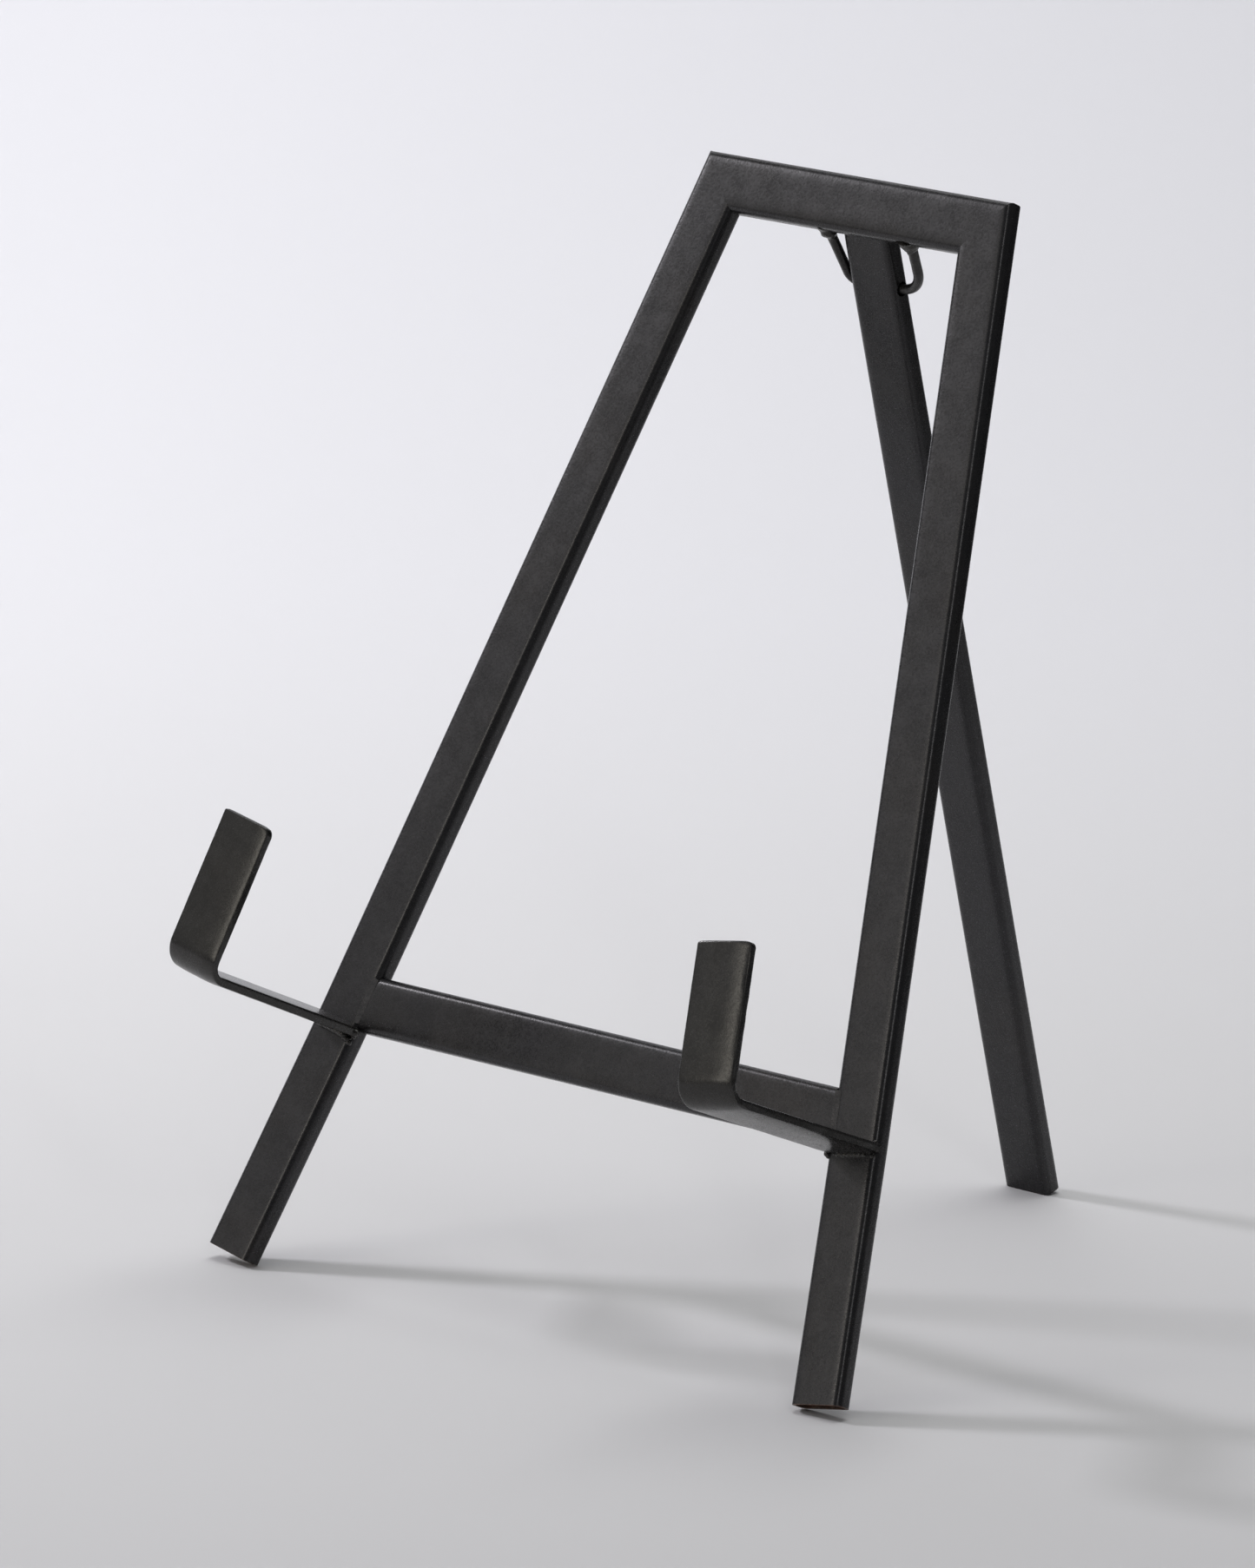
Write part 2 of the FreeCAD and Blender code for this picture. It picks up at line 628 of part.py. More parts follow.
def arm_bead(side):
    """Round bead with round ends, in the corner under a shelf arm."""
    name = side_name(side) + "_arm_bead"
    up = size("leg_length") - size("arm_drop")
    middle = size("bar_width") / 2
    half = size("arm_bead_length") / 2
    rod = primitive("Cylinder", name + "_rod",
                    {"Radius": "dims.arm_bead", "Height": "dims.arm_bead_length"})
    x, depth, height = leg_point(side, middle + side * half, 0.0, up)
    rod.Placement = on_frame(x, depth, height, leg_turn(side).multiply(LAY_ALONG_X))
    pieces = [rod]
    for end in (LEFT, RIGHT):
        ball = primitive("Sphere", name + "_" + side_name(end), {"Radius": "dims.arm_bead"})
        x, depth, height = leg_point(side, middle + end * half, 0.0, up)
        ball.Placement = on_frame(x, depth, height)
        pieces.append(ball)
    return group("MultiFuse", name, pieces, "Shapes")


leg_cores = [leg_core(LEFT), leg_core(RIGHT)]
shelf_welds = trimmed(
    "shelf_welds",
    [arm_bead(LEFT), arm_bead(RIGHT)],
    leg_cores,
    [left_leg, right_leg, left_arm, right_arm],
)

loop_beads = []
for bead_side, bead_x in ((LEFT, -size("loop_left_top")), (RIGHT, size("loop_right_top"))):
    bead = primitive(
        "Cone",
        side_name(bead_side) + "_loop_bead",
        {
            "Radius1": "dims.loop_bead_wide",
            "Radius2": "dims.loop_bead_narrow",
            "Height": "dims.loop_bead_length",
        },
    )
    bead.Placement = on_loop(bead_x, -size("loop_bead_depth"), POINT_ALONG_Y)
    loop_beads.append(bead)
hinge_welds = trimmed("hinge_welds", loop_beads, [top_bar_core()], [top_bar, hinge_loop])

# The groove between a leg's round corner and the bottom bar's end, front and back, is filled flush.
fills = []
splay = math.radians(size("splay_angle"))
# along a leg: its foot to the bottom bar's lower inner corner, then up past the bar's round corner
fill_low = size("bottom_bar_drop") + size("bar_width") * (1 - math.sin(splay))
fill_low = size("leg_length") - fill_low / math.cos(splay) + size("bar_corner")
for fill_side in (LEFT, RIGHT):
    for face, fill_depth in (("front", 0.0), ("back", size("bar_depth") - size("bar_corner"))):
        fill = primitive(
            "Box",
            side_name(fill_side) + "_" + face + "_fill",
            {
                "Length": "dims.bar_corner",
                "Width": "dims.bar_corner",
                "Height": "dims.bar_width - 1.4 * dims.bar_corner",
            },
        )
        inward = size("bar_width") if fill_side == RIGHT else size("bar_width") - size("bar_corner")
        x, depth, height = leg_point(fill_side, inward, fill_depth, fill_low)
        fill.Placement = on_frame(x, depth, height, leg_turn(fill_side))
        fills.append(fill)
frame_welds = trimmed("frame_welds", fills, leg_cores, [left_leg, right_leg, bottom_bar], [shelf_welds])

# ---------------------------------------------------------------- checks and export

NODES = [
    left_leg, right_leg, top_bar, bottom_bar, left_arm, right_arm,
    rear_leg, hinge_loop, shelf_welds, hinge_welds, frame_welds,
]

doc.recompute()
for item in doc.Objects:
    assert "Invalid" not in item.State and "Error" not in item.State, (item.Name, item.State)
for node in NODES:
    assert not node.Shape.isNull() and node.Shape.isValid(), node.Label
    node.Shape.exportStep("parts/" + node.Label + ".step")
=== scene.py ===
import json
import math

import bmesh
import bpy
from mathutils import Matrix, Vector, noise


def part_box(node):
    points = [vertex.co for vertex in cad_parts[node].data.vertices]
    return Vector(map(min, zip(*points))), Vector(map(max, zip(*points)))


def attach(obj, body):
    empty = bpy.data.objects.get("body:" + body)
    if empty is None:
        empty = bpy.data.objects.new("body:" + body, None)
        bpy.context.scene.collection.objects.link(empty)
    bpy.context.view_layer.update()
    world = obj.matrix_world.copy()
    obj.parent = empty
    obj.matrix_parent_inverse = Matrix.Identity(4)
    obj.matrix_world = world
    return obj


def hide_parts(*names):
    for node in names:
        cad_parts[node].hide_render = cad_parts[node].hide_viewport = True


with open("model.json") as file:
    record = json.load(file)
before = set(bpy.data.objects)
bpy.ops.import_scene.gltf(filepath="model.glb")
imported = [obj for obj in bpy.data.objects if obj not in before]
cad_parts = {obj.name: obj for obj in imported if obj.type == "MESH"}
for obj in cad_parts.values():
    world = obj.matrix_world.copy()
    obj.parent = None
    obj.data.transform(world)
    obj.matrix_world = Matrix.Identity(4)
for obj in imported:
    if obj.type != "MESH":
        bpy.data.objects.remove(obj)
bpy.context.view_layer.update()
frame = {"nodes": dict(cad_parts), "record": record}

# Looks of a folding plate display stand: black satin paint over welded steel tube, flat bar and wire.
# Everything is in metres in the CAD frame: +Z up, +Y towards the rear leg, floor at z = 0.

MM = 0.001
RECORD = frame["record"]
MOUNTS = {mount["name"]: mount for mount in RECORD["mounts"]}
HINGE = RECORD["behaviour"]["joints"][0]
LEFT = -1
RIGHT = 1
SIDE_NAMES = {LEFT: "left", RIGHT: "right"}
X_AXIS = Vector((1, 0, 0))
Z_AXIS = Vector((0, 0, 1))

# Section sizes and bends, as in the CAD model.
TUBE_CORNER = 2.5 * MM
TUBE_WALL = 1.2 * MM
ARM_THICK = 4 * MM
BEND_OUTSIDE = 10 * MM
BEND_INSIDE = 4 * MM
WIRE_RADIUS = 1.75 * MM
PIVOT_HOLE_RADIUS = 2.6 * MM

# Wear and unevenness, only in the looks.
# how far the uneven skin of tube and flat bar lies inside its nominal faces
SKIN = 0.04 * MM
# how far a tube's wide faces fall away before its corners, on the legs and on the two cross bars
LEG_CROWN = 0.06 * MM
BAR_CROWN = 0.2 * MM
# the rounding of the arms' flat bar along its length, and of its tip
ARM_EDGE = 0.8 * MM
TIP_ROUND = 0.55 * MM
# how far each front leg's foot is bent forward
FOOT_SHIFT = {LEFT: 2.3 * MM, RIGHT: 1.1 * MM}

# Where things sit, as in the CAD model.
SPLAY = math.radians(10.3)
ARM_BELOW_TOP = 327.3 * MM
# the rear leg at rest: its top leans forward, and a little to the right
PROP_ANGLE = math.radians(17.6)
PROP_SIDE_LEAN = math.radians(0.33)

# ---------------------------------------------------------------- directions of the leaning frame

FRONT = Vector(MOUNTS["top_bar_back_rest"]["axis"]).normalized()
BACK = -FRONT
UP_SLOPE = FRONT.cross(X_AXIS).normalized()
LEG_UP = {side: UP_SLOPE * math.cos(SPLAY) - X_AXIS * side * math.sin(SPLAY) for side in SIDE_NAMES}


def local_frame(node, along, back):
    """Matrix of axes (across, back, along) with its origin at the middle of the node's low front edge,
    and the node's size along each of them."""
    across = back.cross(along).normalized()
    turn = Matrix((across, back, along)).transposed()
    points = [turn.transposed() @ vertex.co for vertex in frame["nodes"][node].data.vertices]
    low = Vector([min(point[axis] for point in points) for axis in range(3)])
    high = Vector([max(point[axis] for point in points) for axis in range(3)])
    origin = turn @ Vector(((low.x + high.x) / 2, low.y, low.z))
    return Matrix.Translation(origin) @ turn.to_4x4(), high - low


# ---------------------------------------------------------------- mesh helpers


def smoothstep(low, high, value):
    share = min(1.0, max(0.0, (value - low) / (high - low)))
    return share * share * (3 - 2 * share)


def wobble(point, wavelength, seed):
    """Smooth noise between about -1 and 1 that varies over the given length."""
    return noise.noise(point / wavelength + Vector((seed * 7.3, seed * 3.1, seed * 5.7)))


def loft(bm, rings, bare=None, closed_ends=(True, True)):
    """Quads between rings of equal length; rings run counter-clockwise seen from the last ring."""
    layer = bm.verts.layers.float.get("bare") or bm.verts.layers.float.new("bare")
    made = []
    for number, ring in enumerate(rings):
        row = [bm.verts.new(point) for point in ring]
        if bare is not None:
            for vertex in row:
                vertex[layer] = bare[number]
        made.append(row)
    count = len(made[0])
    for low, high in zip(made, made[1:]):
        for index in range(count):
            after = (index + 1) % count
            bm.faces.new((low[index], low[after], high[after], high[index]))
    if closed_ends[0]:
        bm.faces.new(list(reversed(made[0])))
    if closed_ends[1]:
        bm.faces.new(made[-1])
    return made


def finish_piece(bm, name, material, body, replaced, sharp_angle=38):
    """Turns the mesh into an object that rides on a CAD body and stands for CAD nodes."""
    bmesh.ops.recalc_face_normals(bm, faces=bm.faces)
    limit = math.radians(sharp_angle)
    for face in bm.faces:
        face.smooth = True
    for edge in bm.edges:
        edge.smooth = edge.is_manifold and edge.calc_face_angle(0) < limit
    mesh = bpy.data.meshes.new(name)
    bm.to_mesh(mesh)
    bm.free()
    piece = bpy.data.objects.new(name, mesh)
    bpy.context.scene.collection.objects.link(piece)
    mesh.materials.append(material)
    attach(piece, body)
    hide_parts(*replaced)
    return piece


def outline(width, depth, radius, corner_steps, wide_steps, narrow_steps):
    """Rounded rectangle, counter-clockwise, centred across and with its front edge at depth 0.
    Each entry is (x, y, normal x, normal y)."""
    half = width / 2 - radius
    corners = [
        (half, radius, -90),
        (half, depth - radius, 0),
        (-half, depth - radius, 90),
        (-half, radius, 180),
    ]
    points = []
    for number, (cx, cy, start) in enumerate(corners):
        for step in range(corner_steps + 1):
            angle = math.radians(start + 90 * step / corner_steps)
            nx, ny = math.cos(angle), math.sin(angle)
            points.append((cx + radius * nx, cy + radius * ny, nx, ny))
        steps = narrow_steps if number % 2 == 0 else wide_steps
        x0, y0, nx, ny = points[-1]
        next_x, next_y, next_start = corners[(number + 1) % 4]
        angle = math.radians(next_start)
        x1, y1 = next_x + radius * math.cos(angle), next_y + radius * math.sin(angle)
        for step in range(1, steps):
            share = step / steps
            points.append((x0 + (x1 - x0) * share, y0 + (y1 - y0) * share, nx, ny))
    return points


# ---------------------------------------------------------------- materials


def mix_colour(tree, factor, first, second):
    """Mix of two colours; the factor and each colour may be a value or a socket."""
    # a colour mix uses the node's inputs 0, 6 and 7 and its output 2
    node = tree.nodes.new("ShaderNodeMix")
    node.data_type = "RGBA"
    node.clamp_factor = True
    for socket, value in ((node.inputs[0], factor), (node.inputs[6], first), (node.inputs[7], second)):
        if isinstance(value, bpy.types.NodeSocket):
            tree.links.new(value, socket)
        elif isinstance(value, (int, float)):
            socket.default_value = value
        else:
            socket.default_value = (*value, 1)
    return node.outputs[2]


def math_node(tree, operation, *values):
    node = tree.nodes.new("ShaderNodeMath")
    node.operation = operation
    for socket, value in zip(node.inputs, values):
        if isinstance(value, bpy.types.NodeSocket):
            tree.links.new(value, socket)
        else:
            socket.default_value = value
    return node.outputs[0]


def remap(tree, value, low, high, out_low=0.0, out_high=1.0):
    """Maps low..high to out_low..out_high in a straight line, and holds the ends beyond them."""
    node = tree.nodes.new("ShaderNodeMapRange")
    node.clamp = True
    tree.links.new(value, node.inputs[0])
    for socket, number in zip(node.inputs[1:5], (low, high, out_low, out_high)):
        socket.default_value = number
    return node.outputs[0]


def noise_node(tree, vector, scale, detail, roughness=0.5):
    node = tree.nodes.new("ShaderNodeTexNoise")
    node.inputs["Scale"].default_value = scale
    node.inputs["Detail"].default_value = detail
    node.inputs["Roughness"].default_value = roughness
    tree.links.new(vector, node.inputs["Vector"])
    return node.outputs["Fac"]


# Most values of a noise lie between these two.
NOISE_LOW = 0.36
NOISE_HIGH = 0.64

# Scales of the paint's noises, in patches per metre.
BROAD_SCALE = 22
CLOUD_SCALE = 110
FINE_SCALE = 420
SPECK_SCALE = 1100
GRAIN_SCALE = 1300

# Colours that the paint leans to, and what lies on it or shows through it.
BROWN_CAST = (0.014, 0.0108, 0.0082)
VIOLET_CAST = (0.0062, 0.0058, 0.0088)
DUST = (0.060, 0.052, 0.043)
WORN_PAINT = (0.060, 0.056, 0.052)
DARK_RUST = (0.09, 0.035, 0.016)
PALE_RUST = (0.16, 0.10, 0.065)
PEEL_HEIGHT = 0.2 * MM
SHEEN_LOW = 0.455
SHEEN_HIGH = 0.505


def paint_colour(tree, place, tone, fine, grain, base, light):
    """Colour of the paint with its clouds, dust, rubbed edges and sawn ends, and how bare it is."""
    broad = noise_node(tree, place, BROAD_SCALE, detail=3, roughness=0.55)
    colour = mix_colour(tree, remap(tree, tone, NOISE_LOW, NOISE_HIGH), base, light)
    # the paint leans to brown in some places and to violet in others
    colour = mix_colour(tree, remap(tree, broad, 0.50, 0.68, 0.0, 0.35), colour, BROWN_CAST)
    colour = mix_colour(tree, remap(tree, broad, 0.32, 0.46, 0.4, 0.0), colour, VIOLET_CAST)
    # thin dust in specks
    specks = noise_node(tree, place, SPECK_SCALE, detail=5, roughness=0.75)
    colour = mix_colour(tree, remap(tree, specks, 0.60, 0.74, 0.0, 0.35), colour, DUST)
    # sharp edges are rubbed where the fine noise is high
    pointed = tree.nodes.new("ShaderNodeNewGeometry").outputs["Pointiness"]
    worn = remap(tree, pointed, 0.53, 0.64)
    worn = math_node(tree, "MULTIPLY", worn, remap(tree, fine, 0.42, 0.62))
    colour = mix_colour(tree, math_node(tree, "MULTIPLY", worn, 0.4), colour, WORN_PAINT)
    # the sawn ends carry the attribute "bare", set by loft()
    attribute = tree.nodes.new("ShaderNodeAttribute")
    attribute.attribute_name = "bare"
    bare = math_node(tree, "MULTIPLY", attribute.outputs["Fac"], remap(tree, fine, 0.3, 0.6, 0.35, 1.0))
    rust = mix_colour(tree, remap(tree, grain, 0.35, 0.65), DARK_RUST, PALE_RUST)
    return mix_colour(tree, bare, colour, rust), bare


def paint_roughness(tree, cloud, grain, rough, bare):
    """Roughness that varies with the clouds and the grain; bare metal is duller."""
    value = remap(tree, cloud, NOISE_LOW, NOISE_HIGH, rough - 0.015, rough + 0.02)
    value = math_node(tree, "ADD", value, remap(tree, grain, 0.3, 0.7, -0.04, 0.06))
    return math_node(tree, "ADD", value, math_node(tree, "MULTIPLY", bare, 0.2))


def paint_relief(tree, place, fine, grain, peel, grain_depth, streak):
    """Orange peel and grain; streak, if given, adds noise scaled differently along each axis."""
    height = math_node(tree, "MULTIPLY", grain, grain_depth)
    height = math_node(tree, "ADD", height, math_node(tree, "MULTIPLY", fine, 1.2))
    if streak is not None:
        stretch = tree.nodes.new("ShaderNodeMapping")
        stretch.inputs["Scale"].default_value = streak
        tree.links.new(place, stretch.inputs["Vector"])
        streaks = noise_node(tree, stretch.outputs[0], scale=1, detail=3)
        height = math_node(tree, "ADD", height, streaks)
    bump = tree.nodes.new("ShaderNodeBump")
    bump.inputs["Strength"].default_value = peel
    bump.inputs["Distance"].default_value = PEEL_HEIGHT
    tree.links.new(height, bump.inputs["Height"])
    return bump.outputs[0]


def painted_steel(name, base, light, rough, peel, grain_depth, sheen_tint, streak=None):
    """Satin black paint over steel, whose tone runs from base to light."""
    material = bpy.data.materials.new(name)
    material.use_nodes = True
    tree = material.node_tree
    shader = tree.nodes["Principled BSDF"]
    place = tree.nodes.new("ShaderNodeTexCoord").outputs["Object"]
    cloud = noise_node(tree, place, CLOUD_SCALE, detail=4, roughness=0.6)
    fine = noise_node(tree, place, FINE_SCALE, detail=3, roughness=0.65)
    grain = noise_node(tree, place, GRAIN_SCALE, detail=2, roughness=0.6)
    tone = math_node(tree, "MULTIPLY", math_node(tree, "ADD", fine, cloud), 0.5)
    colour, bare = paint_colour(tree, place, tone, fine, grain, base, light)
    tree.links.new(colour, shader.inputs["Base Color"])
    tree.links.new(paint_roughness(tree, cloud, grain, rough, bare), shader.inputs["Roughness"])
    # the sheen itself is patchy, as thin paint over mill scale is
    sheen = remap(tree, tone, NOISE_LOW, NOISE_HIGH, SHEEN_LOW, SHEEN_HIGH)
    tree.links.new(sheen, shader.inputs["Specular IOR Level"])
    shader.inputs["Specular Tint"].default_value = (*sheen_tint, 1)
    relief = paint_relief(tree, place, fine, grain, peel, grain_depth, streak)
    tree.links.new(relief, shader.inputs["Normal"])
    return material


TUBE_PAINT = painted_steel(
    "tube_paint",
    base=(0.0050, 0.0050, 0.0057),
    light=(0.0088, 0.0086, 0.0092),
    rough=0.27,
    peel=0.15,
    grain_depth=0.8,
    sheen_tint=(1.0, 0.985, 1.005),
)
ARM_PAINT = painted_steel(
    "arm_paint",
    base=(0.0045, 0.0044, 0.0042),
    light=(0.0102, 0.0099, 0.0094),
    rough=0.24,
    peel=0.15,
    grain_depth=0.6,
    sheen_tint=(1.0, 0.985, 0.955),
    streak=(300, 60, 300),
)
WIRE_PAINT = painted_steel(
    "wire_paint",
    base=(0.0045, 0.0045, 0.0050),
    light=(0.0090, 0.0086, 0.0084),
    rough=0.28,
    peel=0.30,
    grain_depth=0.8,
    sheen_tint=(1.0, 0.98, 0.96),
)
WELD_PAINT = painted_steel(
    "weld_paint",
    base=(0.0045, 0.0043, 0.0042),
    light=(0.0130, 0.0120, 0.0110),
    rough=0.24,
    peel=0.22,
    grain_depth=0.8,
    sheen_tint=(1.0, 0.975, 0.94),
)

# ---------------------------------------------------------------- tubes

# rings along a tube: even steps outside with closer ones at the ends, and a few shares inside
RING_STEP = 4 * MM
END_RINGS = (0.15 * MM, 0.45 * MM, 1.0 * MM, 2.0 * MM)
BORE_STATIONS = (0.0, 0.03, 0.5, 0.97, 1.0)
# long waves and short ripples of a tube's skin
WAVE_HEIGHT = 0.022 * MM
WAVE_LENGTH = 34 * MM
RIPPLE_HEIGHT = 0.012 * MM
RIPPLE_LENGTH = 11 * MM


def tube_skin(place, share_across, facing, crown, seed):
    """How far a tube's skin stands off its nominal face: no face is dead flat, and the wide ones fall
    away a little before the corners."""
    fall = crown * smoothstep(0.45, 1.0, share_across)
    uneven = WAVE_HEIGHT * wobble(place, WAVE_LENGTH, seed)
    uneven += RIPPLE_HEIGHT * wobble(place, RIPPLE_LENGTH, seed + 4)
    return uneven - fall * facing - SKIN


def tube_rings(size, ends, stations, shape, crown, seed):
    """Rings of the tube's outer skin from its low end to its high end, in the tube's own axes."""
    width, depth = size
    points = outline(width, depth, TUBE_CORNER, corner_steps=6, wide_steps=10, narrow_steps=4)
    rings = []
    for share in stations:
        ring = []
        for x, y, nx, ny in points:
            low, high = ends[0](x, y), ends[1](x, y)
            z = low + (high - low) * share
            offset = tube_skin(Vector((x, y, z)), abs(2 * x / width), abs(ny), crown, seed)
            ring.append(shape(Vector((x + nx * offset, y + ny * offset, z))))
        rings.append(ring)
    return rings


def bore_rings(size, ends, shape):
    """Rings of the tube's plain inside, wound the other way so that its faces look inwards."""
    width, depth = size
    bore_width = width - 2 * TUBE_WALL
    bore_depth = depth - 2 * TUBE_WALL
    bore_corner = TUBE_CORNER - TUBE_WALL
    points = outline(bore_width, bore_depth, bore_corner, corner_steps=3, wide_steps=10, narrow_steps=4)
    rings = []
    for share in BORE_STATIONS:
        ring = []
        for x, front, _, _ in reversed(points):
            y = front + TUBE_WALL
            low, high = ends[0](x, y), ends[1](x, y)
            ring.append(shape(Vector((x, y, low + (high - low) * share))))
        rings.append(ring)
    return rings


def unchanged(point):
    return point


def stations_for(length):
    """Shares of the length: even steps, closer together at the two ends."""
    count = max(4, int(length / RING_STEP))
    shares = {0.0, 1.0}
    for index in range(1, count):
        shares.add(index / count)
    for near in END_RINGS:
        shares.add(near / length)
        shares.add(1 - near / length)
    return sorted(shares)


def build_tube(node, along, back, ends, body, seed, raw=(0.0, 0.0), shape=unchanged, crown=LEG_CROWN):
    """Hollow tube with rolled corners. Ends are functions giving how much is cut off at (x, y), raw
    says how bare the two ends are, and shape bends the straight tube."""
    matrix, size = local_frame(node, along, back)
    length = size.z
    low_end, high_end = ends
    spans = (low_end, lambda x, y: length - high_end(x, y))
    bm = bmesh.new()
    section = (size.x, size.y)
    outer = tube_rings(section, spans, stations_for(length), shape, crown, seed)
    inner = bore_rings(section, spans, shape)
    loops = []
    for rings in (outer, inner):
        bare = [raw[0]] + [0.0] * (len(rings) - 2) + [raw[1]]
        loops.append(loft(bm, rings, bare, (False, False)))
    outside, inside = loops
    for own, far in ((outside[0], inside[0]), (outside[-1], inside[-1])):
        bridge_loops(bm, own, far)
    bmesh.ops.transform(bm, matrix=matrix, verts=bm.verts)
    return finish_piece(bm, "visual_" + node, TUBE_PAINT, body, [node])


def bridge_loops(bm, outer, inner):
    edges = []
    for loop in (outer, inner):
        for index, vertex in enumerate(loop):
            edges.append(bm.edges.get((vertex, loop[(index + 1) % len(loop)])))
    bmesh.ops.bridge_loops(bm, edges=edges)


LEG_SIZE = local_frame("left_leg", LEG_UP[LEFT], BACK)[1]
TUBE_WIDTH = LEG_SIZE.x
LEG_LENGTH = LEG_SIZE.z
# height of an arm's underside, along its leg
ARM_UP = LEG_LENGTH - ARM_BELOW_TOP
# how much length the mitres and the bottom bar's butt joints lose across the tube
MITRE_SLOPE = 1 / math.tan(math.radians(45) + SPLAY / 2)
BAR_SLOPE = math.tan(SPLAY)


def square_cut(x, y):
    return 0.0


def leg_kink(side):
    """The legs are not quite straight: below its arm each one swings forward a little."""
    matrix = local_frame("%s_leg" % SIDE_NAMES[side], LEG_UP[side], BACK)[0]
    forward = matrix.to_3x3().transposed() @ Vector((0, -1, 0))

    def shape(point):
        below = max(0.0, 1 - point.z / ARM_UP)
        return point + forward * FOOT_SHIFT[side] * below

    return shape


for side in (LEFT, RIGHT):
    build_tube(
        "%s_leg" % SIDE_NAMES[side],
        LEG_UP[side],
        BACK,
        (square_cut, lambda x, y, side=side: (TUBE_WIDTH / 2 - side * x) * MITRE_SLOPE),
        "frame",
        seed=side + 2,
        raw=(1.0, 0.0),
        shape=leg_kink(side),
    )


def top_mitre(x, y):
    return (x + TUBE_WIDTH / 2) * MITRE_SLOPE


def bottom_butt(x, y):
    return (TUBE_WIDTH / 2 - x) * BAR_SLOPE


for bar, cut, seed in (("top_bar", top_mitre, 5), ("bottom_bar", bottom_butt, 6)):
    build_tube(bar, X_AXIS, BACK, (cut, cut), "frame", seed, crown=BAR_CROWN)

# ---------------------------------------------------------------- shelf arms

# how many points an arm's shelf, bend and lip have, and where its last ones lie on the rounded tip
ARM_COUNTS = (26, 14, 18)
TIP_SHARES = (0.0, 0.12, 0.3, 0.5, 0.7, 0.86, 1.0)
# how far the flat bar's faces fall away at its edges, and the outer one at its right edge
ARM_FALL = 0.3 * MM
ARM_DEEP_FALL = 0.65 * MM
# waves of the flat bar's skin, and tears and burrs of its sheared edges
ARM_WAVE_HEIGHT = 0.04 * MM
ARM_WAVE_LENGTH = 16 * MM
TEAR_LENGTH = 2.6 * MM
BURR_LENGTH = 1.1 * MM


def line_points(start, end, count):
    return [start + (end - start) * (index / count) for index in range(count)]


def bent_line(start, corner, end, radius, counts):
    """A straight run, a round bend and a straight run, as points in the arm's (y, z) plane."""
    back = (start - corner).normalized()
    ahead = (end - corner).normalized()
    half_angle = back.angle(ahead) / 2
    reach = radius / math.tan(half_angle)
    centre = corner + (back + ahead).normalized() * (radius / math.sin(half_angle))
    first = corner + back * reach
    last = corner + ahead * reach
    points = line_points(start, first, counts[0])
    arm = first - centre
    sweep = arm.angle(last - centre)
    sign = 1 if arm.x * (last - centre).y - arm.y * (last - centre).x > 0 else -1
    for index in range(counts[1]):
        angle = sign * sweep * index / counts[1]
        turned = Vector((
            arm.x * math.cos(angle) - arm.y * math.sin(angle),
            arm.x * math.sin(angle) + arm.y * math.cos(angle),
        ))
        points.append(centre + turned)
    points += line_points(last, end, counts[2])
    points.append(end)
    return points


def meet(first, first_way, second, second_way):
    """Where two lines in a plane cross."""
    cross = first_way.x * second_way.y - first_way.y * second_way.x
    gap = second - first
    share = (gap.x * second_way.y - gap.y * second_way.x) / cross
    return first + first_way * share


def arm_lines(side, matrix, size):
    """Underside and upper side of a bent arm, as points (y, z) of its own frame from root to tip.
    The upper side follows the two mounts that the arm carries."""
    inverse = matrix.inverted()
    turn = matrix.to_3x3().transposed()
    shelf = MOUNTS["%s_shelf_top" % SIDE_NAMES[side]]
    lip = MOUNTS["%s_lip_inside" % SIDE_NAMES[side]]
    shelf_point = inverse @ Vector(shelf["pos_m"])
    shelf_normal = turn @ Vector(shelf["axis"])
    lip_point = inverse @ Vector(lip["pos_m"])
    lip_normal = turn @ Vector(lip["axis"])
    run = Vector((shelf_normal.z, -shelf_normal.y))
    rise = Vector((-lip_normal.z, lip_normal.y))
    inner_start = Vector((shelf_point.y, shelf_point.z)) + run * ((size.y - shelf_point.y) / run.x)
    inner_foot = Vector((lip_point.y, lip_point.z))
    outer_start = inner_start - Vector((0, ARM_THICK / run.x))
    outer_foot = inner_foot - Vector((ARM_THICK / rise.y, 0))
    lines = []
    for start, foot, radius in (
        (outer_start, outer_foot, BEND_OUTSIDE),
        (inner_start, inner_foot, BEND_INSIDE),
    ):
        corner = meet(start, run, foot, rise)
        end = foot + rise * ((size.z - foot.y) / rise.y)
        lines.append(bent_line(start, corner, end, radius, ARM_COUNTS))
    return lines


def crowd_tip(lines, length):
    """Replaces the points of both lines over their last stretch by points that crowd to the tip."""
    outer = lines[0]
    way = (outer[-1] - outer[-2]).normalized()
    for line in lines:
        end = line.pop()
        while (end - line[-1]).length < length * 1.05:
            line.pop()
        for share in TIP_SHARES:
            line.append(end - way * length * (1 - share))


def rounded_end(radius, remaining):
    """How far a rounded corner has drawn in, at the given distance from the end."""
    if remaining >= radius:
        return 0.0
    return radius - math.sqrt(max(0.0, radius ** 2 - (radius - remaining) ** 2))


def arm_section(half):
    """Outline of the flat bar: its faces fall away to rolled edges, the outer one most on its right.
    Each entry is (across, through, normal x, normal y)."""
    points = []
    plain = outline(2 * half, ARM_THICK, ARM_EDGE, corner_steps=4, wide_steps=14, narrow_steps=3)
    for x, y, nx, ny in plain:
        edge = max(0.0, (abs(x) / half - 0.25) / 0.75) ** 2
        fall = ARM_DEEP_FALL if x > 0 and ny < 0 else ARM_FALL
        points.append((x, y - fall * edge * ny, nx, ny))
    return points


